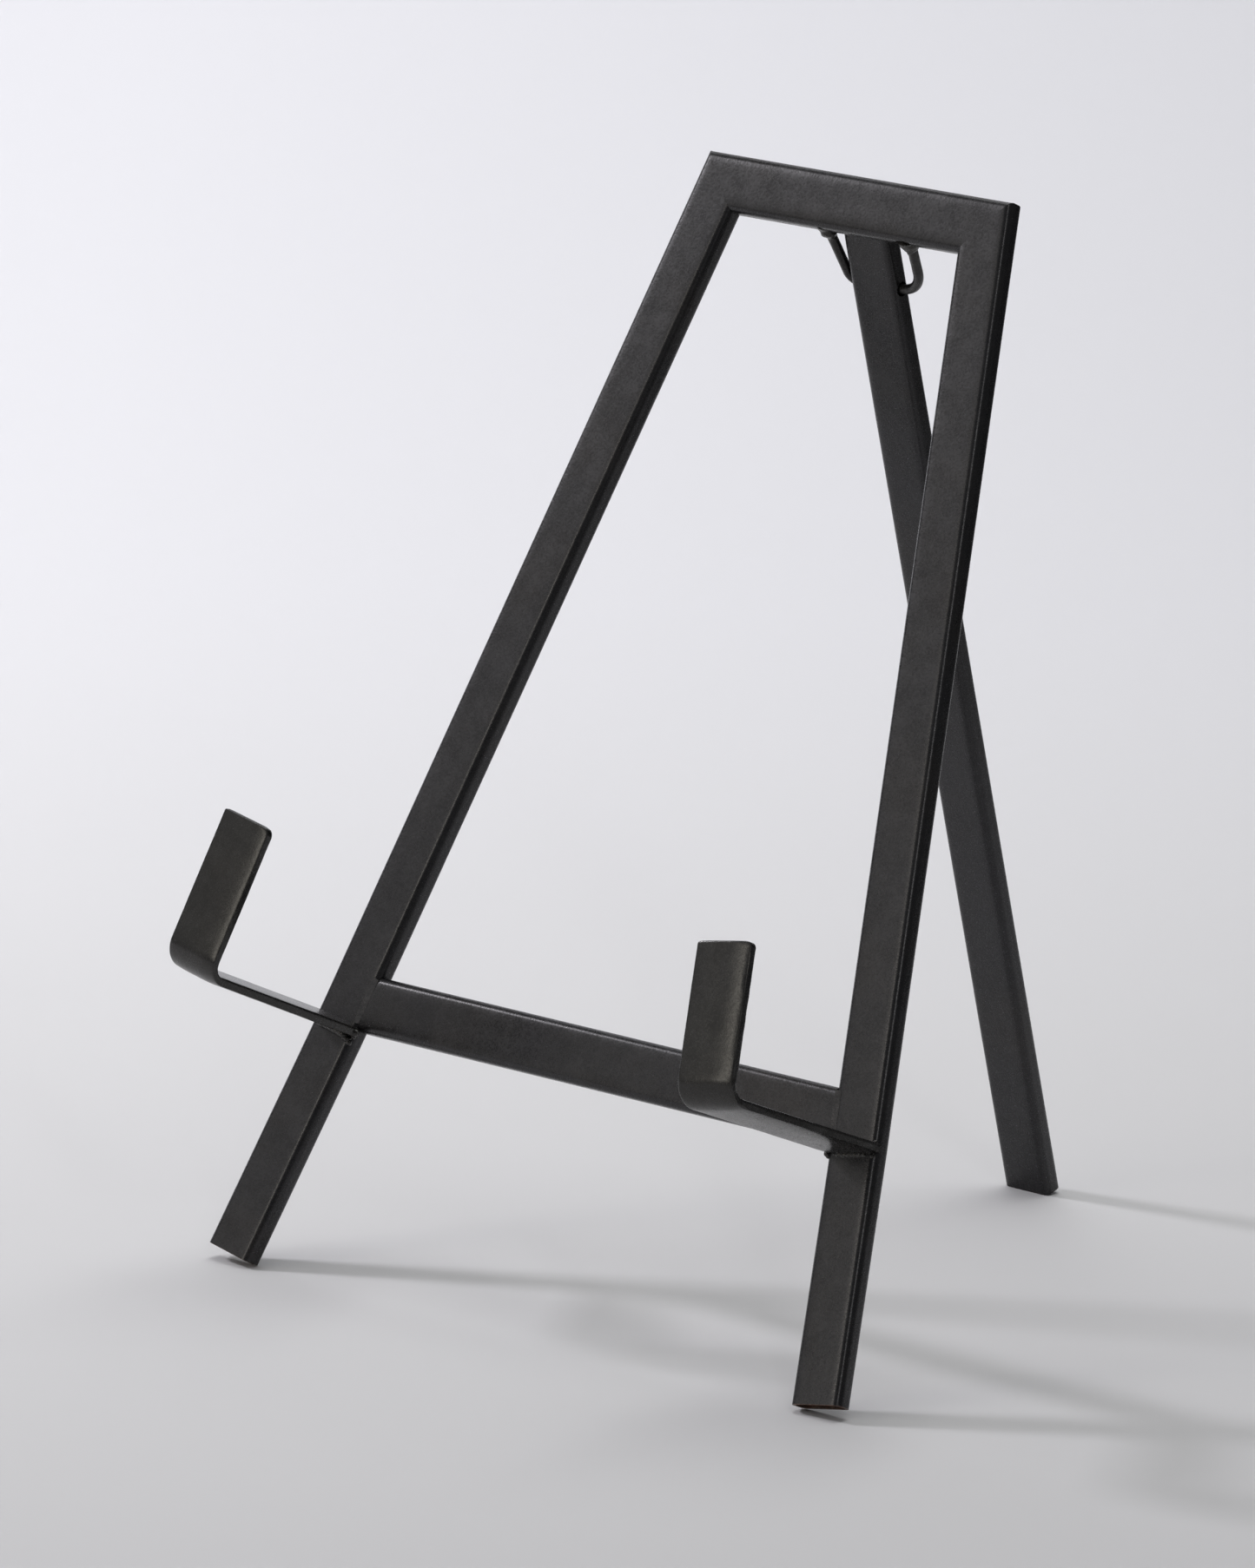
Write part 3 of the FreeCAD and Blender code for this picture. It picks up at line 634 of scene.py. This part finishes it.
def arm_skin(place, share_across, edge_roughness, seed):
    """How far an arm's skin stands off its nominal face, with torn, sheared edges."""
    edge = smoothstep(0.86, 1.0, share_across) * edge_roughness
    uneven = ARM_WAVE_HEIGHT * wobble(place, ARM_WAVE_LENGTH, seed + 9)
    uneven += edge * (wobble(place, TEAR_LENGTH, seed + 3) - 0.45)
    uneven += edge * 0.8 * (wobble(place, BURR_LENGTH, seed + 5) - 0.3)
    return uneven - SKIN


def build_arm(side, tip_corners, edge_roughness):
    """Flat bar bent up into a lip; its underside and its upper side are two bent lines lofted together.
    The last two arguments give the corner at the tip and the roughness of its left and right edge."""
    name = "%s_shelf_arm" % SIDE_NAMES[side]
    matrix, size = local_frame(name, LEG_UP[side], BACK)
    half = size.x / 2
    lines = arm_lines(side, matrix, size)
    crowd_tip(lines, max(tip_corners.values()))
    outer, inner = lines
    rings = []
    for number, (base, face) in enumerate(zip(outer, inner)):
        through = face - base
        near_tip = number >= len(outer) - len(TIP_SHARES)
        remaining = (outer[-1] - base).length if near_tip else size.z
        squeeze = rounded_end(TIP_ROUND, remaining)
        ring = []
        for across, depth, corner_x, corner_y in arm_section(half):
            edge = RIGHT if across > 0 else LEFT
            reach = half - rounded_end(tip_corners[edge], remaining) - squeeze
            share = 0.5 + (depth / ARM_THICK - 0.5) * (1 - 2 * squeeze / ARM_THICK)
            point = Vector((across / half * reach, *(base + through * share)))
            direction = Vector((corner_x, *(through.normalized() * corner_y)))
            offset = arm_skin(point, abs(across) / half, edge_roughness[edge], side)
            ring.append(point + direction * offset)
        rings.append(ring)
    bm = bmesh.new()
    loft(bm, rings)
    bmesh.ops.transform(bm, matrix=matrix, verts=bm.verts)
    finish_piece(bm, "visual_" + name, ARM_PAINT, "frame", [name], sharp_angle=50)


build_arm(
    LEFT,
    tip_corners={LEFT: 0.9 * MM, RIGHT: 3.2 * MM},
    edge_roughness={LEFT: 0.03 * MM, RIGHT: 0.04 * MM},
)
build_arm(
    RIGHT,
    tip_corners={LEFT: 1.2 * MM, RIGHT: 2.0 * MM},
    edge_roughness={LEFT: 0.04 * MM, RIGHT: 0.12 * MM},
)

# ---------------------------------------------------------------- rear leg

PIVOT = Vector(HINGE["pos_m"])
PROP_UP = Vector((
    math.sin(PROP_SIDE_LEAN),
    -math.cos(PROP_SIDE_LEAN) * math.sin(PROP_ANGLE),
    math.cos(PROP_SIDE_LEAN) * math.cos(PROP_ANGLE),
))
PROP_BACK = Vector((0, math.cos(PROP_ANGLE), math.sin(PROP_ANGLE)))
rear_leg = build_tube(
    "rear_leg",
    PROP_UP,
    PROP_BACK,
    (square_cut, square_cut),
    "rear_leg",
    seed=8,
    raw=(0.5, 0.3),
)


def drill(piece, centre, axis, radius):
    """Cuts a round hole through both walls of a tube."""
    bm = bmesh.new()
    turn = axis.to_track_quat("Z", "Y").to_matrix().to_4x4()
    bmesh.ops.create_cone(
        bm, cap_ends=True, segments=40, radius1=radius, radius2=radius, depth=40 * MM,
        matrix=Matrix.Translation(centre) @ turn,
    )
    mesh = bpy.data.meshes.new("drill")
    bm.to_mesh(mesh)
    bm.free()
    tool = bpy.data.objects.new("drill", mesh)
    bpy.context.scene.collection.objects.link(tool)
    modifier = piece.modifiers.new("holes", "BOOLEAN")
    modifier.operation = "DIFFERENCE"
    modifier.solver = "EXACT"
    modifier.object = tool
    drilled = bpy.data.meshes.new_from_object(piece.evaluated_get(bpy.context.evaluated_depsgraph_get()))
    piece.modifiers.clear()
    piece.data = drilled
    bpy.data.objects.remove(tool)


drill(rear_leg, PIVOT, X_AXIS, PIVOT_HOLE_RADIUS)

# ---------------------------------------------------------------- round rods, hinge loop and welds

ARC_STEPS = 12


def swept(bm, path, radii, seed, lump, wavelength, segments):
    """A closed rod along a path: radii gives its size at each point, lump how uneven its skin is."""
    rings = []
    side = None
    for index, spot in enumerate(path):
        before = path[max(0, index - 1)]
        after = path[min(len(path) - 1, index + 1)]
        along = (after - before).normalized()
        if side is None:
            helper = X_AXIS if abs(along.dot(X_AXIS)) < 0.7 else Z_AXIS
            side = helper - along * helper.dot(along)
        side = (side - along * side.dot(along)).normalized()
        other = along.cross(side)
        ring = []
        for step in range(segments):
            angle = 2 * math.pi * step / segments
            way = side * math.cos(angle) + other * math.sin(angle)
            reach = radii[index] * (1 + lump * wobble(spot + way * radii[index], wavelength, seed))
            ring.append(spot + way * reach)
        rings.append(ring)
    loft(bm, rings)


def bent_path(points, bends, step):
    """Straight runs between the given points with round bends at the inner ones."""
    runs = []
    for number, radius in enumerate(bends):
        corner = points[number + 1]
        back = (points[number] - corner).normalized()
        ahead = (points[number + 2] - corner).normalized()
        half_angle = back.angle(ahead) / 2
        reach = radius / math.tan(half_angle)
        centre = corner + (back + ahead).normalized() * (radius / math.sin(half_angle))
        arc = []
        first = corner + back * reach - centre
        normal = first.cross(corner + ahead * reach - centre).normalized()
        sweep = math.pi - 2 * half_angle
        for index in range(ARC_STEPS + 1):
            arc.append(centre + Matrix.Rotation(sweep * index / ARC_STEPS, 3, normal) @ first)
        runs.append(arc)
    path = [points[0]]
    for arc in runs + [[points[-1]]]:
        start = path[-1]
        count = max(1, int((arc[0] - start).length / step))
        for index in range(1, count):
            path.append(start + (arc[0] - start) * (index / count))
        path += arc
    return path


# The hinge loop, as in the CAD model: it hangs from the centre of the bar's lower back corner, swung
# out from the frame's slope. Its limbs run from the tops to the feet, and the straight run between
# the feet is the pivot.
LOOP_SWING = math.radians(55.9)
LOOP_DOWN = BACK * math.sin(LOOP_SWING) - UP_SLOPE * math.cos(LOOP_SWING)
LOOP_OUT = 24.75 * MM
LOOP_END = 2.9 * MM
LOOP_TOPS = {LEFT: -11.2 * MM, RIGHT: 24.7 * MM}
LOOP_FEET = {LEFT: -10.1 * MM, RIGHT: 20.9 * MM}
LOOP_BENDS = {LEFT: 4.2 * MM, RIGHT: 10.9 * MM}
BAR_LINE = Vector((0, PIVOT.y, PIVOT.z)) - LOOP_DOWN * LOOP_OUT


def on_loop(x, out):
    """A point of the hinge loop's plane: sideways, and down from the bar's lower back corner."""
    return BAR_LINE + X_AXIS * x + LOOP_DOWN * out


loop_path = bent_path(
    [
        on_loop(LOOP_TOPS[LEFT], LOOP_END),
        on_loop(LOOP_FEET[LEFT], LOOP_OUT),
        on_loop(LOOP_FEET[RIGHT], LOOP_OUT),
        on_loop(LOOP_TOPS[RIGHT], LOOP_END),
    ],
    bends=[LOOP_BENDS[LEFT], LOOP_BENDS[RIGHT]],
    step=1.0 * MM,
)
wire_mesh = bmesh.new()
wire_radii = [WIRE_RADIUS] * len(loop_path)
swept(wire_mesh, loop_path, wire_radii, seed=21, lump=0.025, wavelength=4 * MM, segments=24)
finish_piece(wire_mesh, "visual_hinge_loop", WIRE_PAINT, "frame", ["hinge_loop"])

# A loop weld, in millimetres: it starts inside the bar and ends as a thin sleeve on the wire.
LOOP_WELD_STEPS = 26
LOOP_WELD_START = -1.2
LOOP_WELD_LENGTH = 7.9
LOOP_WELD_SLEEVE = 1.72
LOOP_WELD_END = 1.6
LOOP_WELD_SPREAD = {LEFT: 1.15, RIGHT: 1.5}


def loop_weld(bm, side, seed):
    """Weld metal that climbs from the wire in a hollow curve and spreads over the bar."""
    foot = on_loop(LOOP_TOPS[side], 0)
    along = (on_loop(LOOP_FEET[side], LOOP_OUT) - foot).normalized()
    path = []
    radii = []
    for index in range(LOOP_WELD_STEPS + 1):
        share = index / LOOP_WELD_STEPS
        path.append(foot + along * (LOOP_WELD_START + LOOP_WELD_LENGTH * share) * MM)
        flare = LOOP_WELD_SPREAD[side] * (1 - smoothstep(0.55, 0.92, share)) + 1.3 * (1 - share) ** 4
        ripple = 0.18 * math.sin(share * 15 + seed) * (1 - share)
        radii.append((LOOP_WELD_SLEEVE + flare + ripple) * MM)
    radii[-1] = LOOP_WELD_END * MM
    swept(bm, path, radii, seed, lump=0.16, wavelength=2.2 * MM, segments=32)


hinge_weld_mesh = bmesh.new()
loop_weld(hinge_weld_mesh, LEFT, seed=31)
loop_weld(hinge_weld_mesh, RIGHT, seed=33)
finish_piece(
    hinge_weld_mesh, "visual_hinge_welds", WELD_PAINT, "frame", ["hinge_welds"], sharp_angle=60
)


def leg_outer_top(side):
    """The outer top corner of a front leg's front face."""
    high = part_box("top_bar")[1]
    slope_point = Vector(MOUNTS["top_bar_back_rest"]["pos_m"])
    return Vector((side * high.x, slope_point.y, slope_point.z)) + UP_SLOPE * (TUBE_WIDTH / 2)


def on_leg(side, inward, depth, up):
    """A point of a front leg: inward from its outer edge, back from its front face, up from its foot."""
    across = X_AXIS * -side * math.cos(SPLAY) - UP_SLOPE * math.sin(SPLAY)
    top = leg_outer_top(side)
    return top - LEG_UP[side] * (LEG_LENGTH - up) + across * inward + BACK * depth


# An arm's bead, in millimetres: where it starts and how long it is, inward from the leg's outer edge,
# how deep it lies behind the leg's front face and how much its middle adds to its thickness.
BEAD_STEPS = 60
BEAD_START = 2.0
BEAD_LENGTH = 16.5
BEAD_SUNK = {LEFT: -0.2, RIGHT: 0.9}
BEAD_SIZE = {LEFT: 1.0, RIGHT: 0.75}
TACK_STEPS = 10


def arm_weld(bm, side, seed):
    """A lumpy bead in the corner under an arm, laid in short overlapping pools."""
    path = []
    radii = []
    for index in range(BEAD_STEPS + 1):
        share = index / BEAD_STEPS
        inward = (BEAD_START + BEAD_LENGTH * share) * MM
        droop = 0.25 * MM * wobble(Vector((share * 20 * MM, 0, 0)), 5 * MM, seed)
        path.append(on_leg(side, inward, BEAD_SUNK[side] * MM, ARM_UP - 0.1 * MM + droop))
        body = smoothstep(-0.05, 0.2, min(share, 1 - share))
        pool = abs(math.sin(share * 24 + seed))
        radii.append((0.5 + BEAD_SIZE[side] * body + 0.16 * pool * body) * MM)
    swept(bm, path, radii, seed, lump=0.12, wavelength=2.4 * MM, segments=28)


def tack_weld(bm, start, end, seed):
    """A short spindle of weld metal."""
    path = []
    radii = []
    for index in range(TACK_STEPS + 1):
        share = index / TACK_STEPS
        path.append(start + (end - start) * share)
        radii.append((0.5 + math.sin(math.pi * (0.12 + 0.76 * share))) * MM)
    swept(bm, path, radii, seed, lump=0.1, wavelength=1.5 * MM, segments=20)


def weld_dot(bm, spot, radius, seed):
    """A small round pool of weld metal or spatter."""
    start = len(bm.verts)
    bmesh.ops.create_icosphere(bm, subdivisions=3, radius=radius, matrix=Matrix.Translation(spot))
    bm.verts.ensure_lookup_table()
    for vertex in list(bm.verts)[start:]:
        away = vertex.co - spot
        vertex.co = spot + away * (1 + 0.2 * wobble(vertex.co, 1.3 * MM, seed))


# Drops of weld metal round the arms' roots: side, then inward, back, up and radius in millimetres.
WELD_DOTS = (
    (LEFT, 18.8, -0.6, 82.8, 1.4),
    (LEFT, 19.7, -0.3, 82.0, 1.1),
    (LEFT, 20.3, -0.2, 84.6, 1.0),
    (LEFT, 16.9, -0.3, 82.6, 0.9),
    (RIGHT, 20.3, 0.8, 84.2, 1.1),
    (RIGHT, 19.7, 0.9, 83.4, 0.9),
    (RIGHT, 1.6, 0.5, 83.5, 0.9),
    (RIGHT, 1.0, 0.4, 88.3, 0.7),
)

shelf_weld_mesh = bmesh.new()
for side in (LEFT, RIGHT):
    arm_weld(shelf_weld_mesh, side, seed=41 + side)
for side, inward, depth, up, radius in WELD_DOTS:
    spot = on_leg(side, inward * MM, depth * MM, up * MM)
    weld_dot(shelf_weld_mesh, spot, radius * MM, seed=up)
tack_weld(
    shelf_weld_mesh,
    start=on_leg(LEFT, 18.8 * MM, -1.9 * MM, ARM_UP + 1.4 * MM),
    end=on_leg(LEFT, 22.6 * MM, -1.2 * MM, ARM_UP + 2.4 * MM),
    seed=47,
)
finish_piece(
    shelf_weld_mesh, "visual_shelf_welds", WELD_PAINT, "frame", ["shelf_welds"], sharp_angle=60
)

# The ground-flush welds of the bottom bar keep their CAD mesh, in the tube's paint.
FRAME_WELDS = frame["nodes"]["frame_welds"]
FRAME_WELDS.data.materials.clear()
FRAME_WELDS.data.materials.append(TUBE_PAINT)

# ---------------------------------------------------------------- camera

# The camera looks down a little at the stand from the front right. Its aim is measured along the
# picture's right and up, from a point SETBACK in front of the origin and UNDER_FLOOR below it.
VIEW_AZIMUTH = math.radians(40.032)
VIEW_ELEVATION = math.radians(13.014)
VIEW_ROLL = math.radians(1.768)
VIEW_DISTANCE = 3.7329
LENS = 255.31
AIM_RIGHT = 38.503 * MM
AIM_UP = 186.727 * MM
SETBACK = 120.488 * MM
UNDER_FLOOR = 0.35 * MM


def camera_axes():
    back = Vector((
        math.sin(VIEW_AZIMUTH) * math.cos(VIEW_ELEVATION),
        -math.cos(VIEW_AZIMUTH) * math.cos(VIEW_ELEVATION),
        math.sin(VIEW_ELEVATION),
    ))
    right = Vector((math.cos(VIEW_AZIMUTH), math.sin(VIEW_AZIMUTH), 0))
    up = back.cross(right)
    rolled_right = right * math.cos(VIEW_ROLL) + up * math.sin(VIEW_ROLL)
    rolled_up = up * math.cos(VIEW_ROLL) - right * math.sin(VIEW_ROLL)
    return rolled_right, rolled_up, back


CAMERA_RIGHT, CAMERA_UP, CAMERA_BACK = camera_axes()
camera_data = bpy.data.cameras.new("camera")
camera_data.lens = LENS
camera_data.sensor_width = 36
camera_data.clip_end = 30
camera = bpy.data.objects.new("camera", camera_data)
bpy.context.scene.collection.objects.link(camera)
aim = CAMERA_RIGHT * AIM_RIGHT + CAMERA_UP * AIM_UP - Vector((0, SETBACK, UNDER_FLOOR))
turn = Matrix((CAMERA_RIGHT, CAMERA_UP, CAMERA_BACK)).transposed()
camera.matrix_world = Matrix.Translation(aim + CAMERA_BACK * VIEW_DISTANCE) @ turn.to_4x4()
bpy.context.scene.camera = camera

# ---------------------------------------------------------------- floor, backdrop and light

VIEW_RIGHT = Vector((math.cos(VIEW_AZIMUTH), math.sin(VIEW_AZIMUTH), 0))
VIEW_AHEAD = Vector((-math.sin(VIEW_AZIMUTH), math.cos(VIEW_AZIMUTH), 0))

# The paper in metres: how far it goes to each side and towards the camera, where its floor ends,
# and its wall.
PAPER_SIDE = 7.0
PAPER_NEAR = -6.0
FLOOR_END = 1.1
WALL_RADIUS = 0.9
WALL_TOP = 5.0
WALL_STEPS = 24
PLAIN_PAPER = (0.93, 0.93, 0.945)
PALE_PAPER = (0.95, 0.95, 0.965)
FAR_PAPER = (0.925, 0.93, 0.975)
BLACK = (0, 0, 0)


def paper_mesh():
    """A floor that curves up into a wall behind the stand, in rows from near to far."""
    profile = [(PAPER_NEAR, 0.0), (-1.0, 0.0), (0.0, 0.0), (FLOOR_END, 0.0)]
    for step in range(1, WALL_STEPS + 1):
        angle = math.radians(90 * step / WALL_STEPS)
        ahead = FLOOR_END + WALL_RADIUS * math.sin(angle)
        profile.append((ahead, WALL_RADIUS * (1 - math.cos(angle))))
    profile.append((FLOOR_END + WALL_RADIUS, WALL_TOP))
    bm = bmesh.new()
    rows = []
    for ahead, height in profile:
        row = []
        for side in (-PAPER_SIDE, 0.0, PAPER_SIDE):
            row.append(bm.verts.new(VIEW_AHEAD * ahead + VIEW_RIGHT * side + Z_AXIS * height))
        rows.append(row)
    for near, far in zip(rows, rows[1:]):
        for index in range(2):
            bm.faces.new((near[index], near[index + 1], far[index + 1], far[index]))
    for face in bm.faces:
        face.smooth = True
    mesh = bpy.data.meshes.new("backdrop")
    bm.to_mesh(mesh)
    bm.free()
    return mesh


def paper_colour_with_painted_light(tree, place):
    """Pale paper with painted light: its brightness varies over the picture, as under uneven studio
    light.
    """
    mottle = noise_node(tree, place, scale=3, detail=2)
    tint = mix_colour(tree, mottle, PLAIN_PAPER, PALE_PAPER)
    # far paper is a touch bluer than near paper
    distance = dot_node(tree, place, VIEW_AHEAD)
    sideways = dot_node(tree, place, VIEW_RIGHT)
    tint = mix_colour(tree, remap(tree, distance, 0.3, 1.9), tint, FAR_PAPER)
    # painted light: the paper is painted brighter further off and darker towards the right
    ahead = remap(tree, distance, -0.5, 2.0, 0.595, 0.955)
    across = remap(tree, sideways, -0.3, 0.3, 1.0, 0.89)
    shade = math_node(tree, "MULTIPLY", ahead, across)
    # painted shade: out of the picture the paper fades to a dim grey, so that the stand's right-hand
    # faces stay dark
    right_painted_shade = remap(tree, sideways, 0.55, 1.5, 1.0, 0.22)
    left_painted_shade = remap(tree, sideways, -4.0, -1.4, 0.30, 1.0)
    shade = math_node(tree, "MULTIPLY", shade, math_node(tree, "MULTIPLY", right_painted_shade, left_painted_shade))
    return mix_colour(tree, shade, BLACK, tint)


def pale_paper():
    material = bpy.data.materials.new("pale_paper")
    material.use_nodes = True
    tree = material.node_tree
    shader = tree.nodes["Principled BSDF"]
    shader.inputs["Roughness"].default_value = 0.9
    shader.inputs["Specular IOR Level"].default_value = 0.2
    place = tree.nodes.new("ShaderNodeTexCoord").outputs["Object"]
    tree.links.new(paper_colour_with_painted_light(tree, place), shader.inputs["Base Color"])
    # the paper's back lets the camera through, for views from behind the stand
    backfacing = tree.nodes.new("ShaderNodeNewGeometry").outputs["Backfacing"]
    camera_ray = tree.nodes.new("ShaderNodeLightPath").outputs["Is Camera Ray"]
    clear = tree.nodes.new("ShaderNodeBsdfTransparent").outputs[0]
    blend = tree.nodes.new("ShaderNodeMixShader")
    tree.links.new(math_node(tree, "MULTIPLY", backfacing, camera_ray), blend.inputs[0])
    tree.links.new(shader.outputs[0], blend.inputs[1])
    tree.links.new(clear, blend.inputs[2])
    tree.links.new(blend.outputs[0], tree.nodes["Material Output"].inputs["Surface"])
    return material


def build_sweep():
    """Seamless paper under and behind the stand."""
    mesh = paper_mesh()
    mesh.materials.append(pale_paper())
    sweep = bpy.data.objects.new("backdrop", mesh)
    bpy.context.scene.collection.objects.link(sweep)


def dot_node(tree, vector, direction):
    node = tree.nodes.new("ShaderNodeVectorMath")
    node.operation = "DOT_PRODUCT"
    tree.links.new(vector, node.inputs[0])
    node.inputs[1].default_value = direction
    return node.outputs["Value"]


def view_direction(azimuth, elevation):
    """Azimuth 0 is straight behind the stand and negative is to the left, as the camera sees it."""
    turned = math.radians(azimuth)
    raised = math.radians(elevation)
    level = VIEW_AHEAD * math.cos(turned) + VIEW_RIGHT * math.sin(turned)
    return level * math.cos(raised) + Z_AXIS * math.sin(raised)


# every box looks at the stand's middle from this far
LIGHT_TARGET = Vector((0, 0, 0.15))
LIGHT_DISTANCE = 2.6


def softbox(name, azimuth, elevation, width, height, power, colour=(1, 1, 1)):
    """Area light aimed at the stand's middle from the given direction."""
    direction = view_direction(azimuth, elevation)
    data = bpy.data.lights.new(name, "AREA")
    data.shape = "RECTANGLE"
    data.size = width
    data.size_y = height
    data.energy = power
    data.color = colour
    light = bpy.data.objects.new(name, data)
    bpy.context.scene.collection.objects.link(light)
    light.location = LIGHT_TARGET + direction * LIGHT_DISTANCE
    light.rotation_mode = "QUATERNION"
    light.rotation_quaternion = direction.to_track_quat("Z", "Y")


build_sweep()
# makes the stand's shadows
softbox(
    "key_box", azimuth=-72, elevation=34, width=0.36, height=0.36, power=31, colour=(0.97, 0.95, 1.0)
)
# lines the corners between the tubes' front faces and right sides with light
softbox("edge_box", azimuth=168, elevation=33, width=0.12, height=1.0, power=4.2)
# lights the right-hand part of the lips, which falls away to the edge
softbox(
    "lip_box", azimuth=-118, elevation=17, width=0.45, height=1.2, power=6.0, colour=(1.0, 0.95, 0.86)
)
# lights the floor and everything that faces up
softbox(
    "top_box", azimuth=15, elevation=76, width=2.2, height=2.2, power=45, colour=(1.0, 1.0, 0.985)
)

ROOM_COOL = (0.96, 0.97, 1.0)
ROOM_WARM = (1.0, 0.985, 0.965)
ROOM_LEVEL = 0.13
ROOM_GLOW = 0.40


def build_studio():
    """The room round the stand: bright and a little warm to the left, dim and cooler elsewhere."""
    world = bpy.data.worlds.new("studio")
    world.use_nodes = True
    tree = world.node_tree
    background = tree.nodes["Background"]
    look = tree.nodes.new("ShaderNodeTexCoord").outputs["Generated"]
    towards = dot_node(tree, look, view_direction(-92, 24))
    lobe = math_node(tree, "POWER", remap(tree, towards, 0.3, 1.0), 3.0)
    level = math_node(tree, "ADD", math_node(tree, "MULTIPLY", lobe, ROOM_GLOW), ROOM_LEVEL)
    tree.links.new(level, background.inputs["Strength"])
    tint = mix_colour(tree, lobe, ROOM_COOL, ROOM_WARM)
    tree.links.new(tint, background.inputs["Color"])
    bpy.context.scene.world = world


build_studio()
bpy.context.scene.view_settings.view_transform = "Standard"
